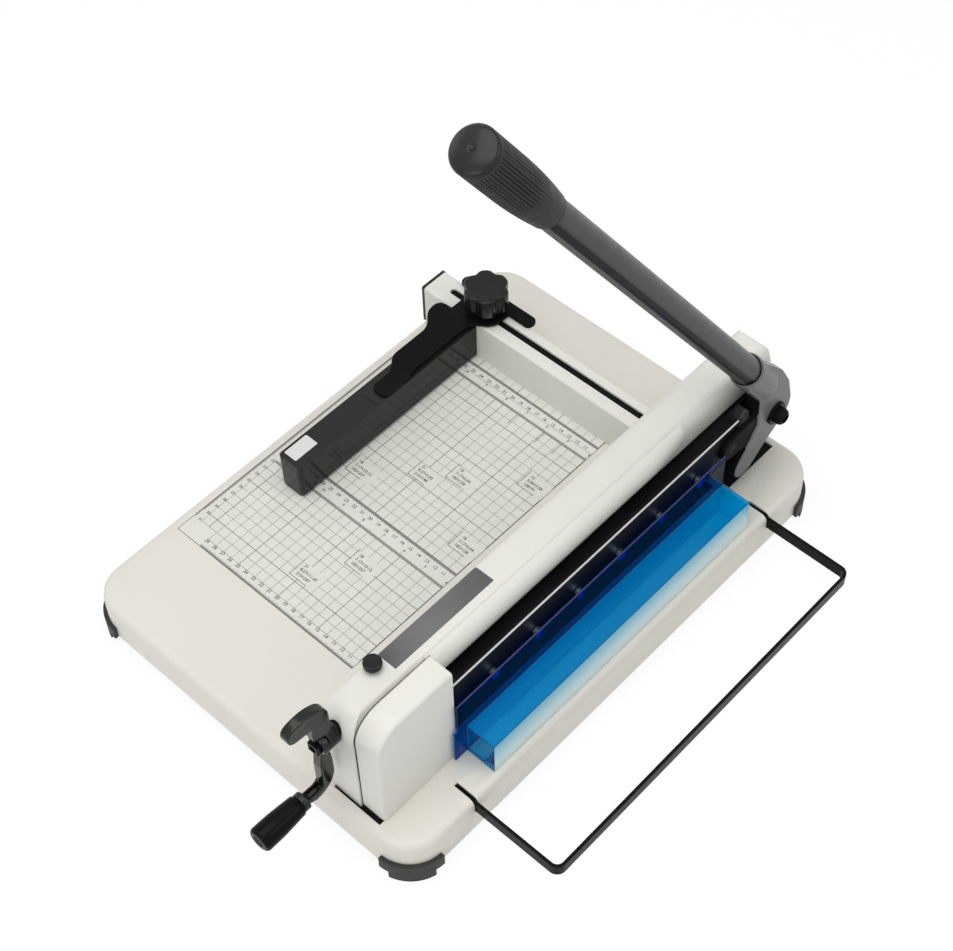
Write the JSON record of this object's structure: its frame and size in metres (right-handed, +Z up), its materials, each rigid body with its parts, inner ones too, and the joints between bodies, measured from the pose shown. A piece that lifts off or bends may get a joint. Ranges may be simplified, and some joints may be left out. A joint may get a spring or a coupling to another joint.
{
  "type": "paper cutter",
  "caption": "Stack paper cutter: long hand lever and drop knife behind a clear guard, crank-driven clamp, ruled table with sliding side guide and a catch loop.",
  "frame": {"origin": "middle of the whole box seen from above, on the surface that the feet stand on", "axes": "+Z up, +Y from the operator to the paper stop, +X from the table to the finger guard and catch loop"},
  "size_m": [0.486, 0.6158, 0.6816],
  "materials": {
    "ivory_plastic": "satin, moulded",
    "rubber": "dull",
    "red_plastic": "satin",
    "blue_clear": "clear, polished",
    "black_paint": "gloss",
    "black_plastic": "gloss",
    "cast_black": "painted, satin",
    "bright_steel": "bright",
    "dark_steel": "oiled"
  },
  "bodies": {
    "root": {"base_pan": "ivory_plastic", "foot_near_left": "rubber", "foot_near_right": "rubber", "foot_far_left": "rubber", "foot_far_right": "rubber", "bed_plate": "dark_steel", "cutting_stick": "red_plastic", "beam_housing": "ivory_plastic", "knife_frame": "cast_black", "near_cover": "ivory_plastic", "blade_guard": "blue_clear", "guard_screw_1": "bright_steel", "guard_screw_2": "bright_steel", "paper_stop": "ivory_plastic", "pivot_bolt": "black_paint", "pivot_washer": "black_paint", "pivot_nut": "bright_steel", "shaft_bracket_near": "cast_black", "shaft_bracket_mid": "cast_black", "shaft_bracket_far": "cast_black"},
    "lever": {"lever_hub": "black_paint", "lever_bar": "black_paint", "lever_grip": "black_plastic"},
    "knife": {"knife_carrier": "cast_black", "blade": "bright_steel", "blade_bolt_1": "bright_steel", "blade_bolt_2": "bright_steel", "blade_bolt_3": "bright_steel", "blade_bolt_4": "bright_steel", "blade_bolt_5": "bright_steel", "blade_bolt_6": "bright_steel", "carrier_pin": "bright_steel", "guide_roller": "bright_steel"},
    "crank": {"crank_axle": "dark_steel", "axle_gear": "dark_steel", "crank_arm": "black_paint", "handle_pin": "bright_steel", "crank_paddle": "black_paint"},
    "crank_grip": {"crank_handle": "black_plastic"},
    "clamp_drive": {"clamp_shaft": "dark_steel", "shaft_gear": "dark_steel", "pinion_near": "dark_steel", "pinion_far": "dark_steel"},
    "clamp": {"clamp_plate": "cast_black", "rack_near": "dark_steel", "rack_far": "dark_steel"},
    "button": {"clamp_button": "black_plastic"},
    "side_guide": {"guide_block": "black_plastic", "guide_arm": "black_paint", "nut_plate": "bright_steel"},
    "guide_screw": {"guide_knob": "black_plastic", "knob_stud": "bright_steel"},
    "catch_loop": {"sheet_loop": "black_paint"}
  },
  "joints": [
    {"name": "lever_swing", "type": "hinge", "parent": "root", "child": "lever", "pos_m": [0.10708, 0.27442, 0.122], "axis": [1, 0, 0], "range_deg": [0, 45.83]},
    {"name": "knife_swing", "type": "hinge", "parent": "lever", "child": "knife", "pos_m": [0.10047, 0.21643, 0.12301], "axis": [1, 0, 0], "range_deg": [-45.83, 0]},
    {"name": "crank_turn", "type": "hinge", "parent": "root", "child": "crank", "pos_m": [0.06747, -0.22407, 0.1433], "axis": [0, 1, 0], "range_deg": [0, 286.4]},
    {"name": "clamp_drive_turn", "type": "hinge", "parent": "root", "child": "clamp_drive", "pos_m": [0.06847, -0.02407, 0.115], "axis": [0, 1, 0], "range_deg": [-286.4, 0]},
    {"name": "clamp_slide", "type": "slide", "parent": "root", "child": "clamp", "axis": [0, 0, 1], "range_m": [-0.04, 0]},
    {"name": "grip_spin", "type": "hinge", "parent": "crank", "child": "crank_grip", "pos_m": [0.06747, -0.27408, 0.086], "axis": [0, 1, 0], "continuous": true},
    {"name": "button_press", "type": "slide", "parent": "root", "child": "button", "axis": [0, 0, 1], "range_m": [-0.004, 0], "stiffness_N_per_m": 400},
    {"name": "side_guide_slide", "type": "slide", "parent": "root", "child": "side_guide", "axis": [1, 0, 0], "range_m": [-0.04, 0.17]},
    {"name": "guide_screw_turn", "type": "hinge", "parent": "side_guide", "child": "guide_screw", "pos_m": [-0.17003, 0.21093, 0.11], "axis": [0, 0, 1], "continuous": true},
    {"name": "catch_loop_slide", "type": "slide", "parent": "root", "child": "catch_loop", "axis": [1, 0, 0], "range_m": [-0.079, 0]}
  ],
  "couplings": [
    {"joint": "knife_swing", "follows": "lever_swing", "ratio": -1},
    {"joint": "clamp_drive_turn", "follows": "crank_turn", "ratio": -1},
    {"joint": "clamp_slide", "follows": "crank_turn", "m_per_rad": -0.008}
  ]
}
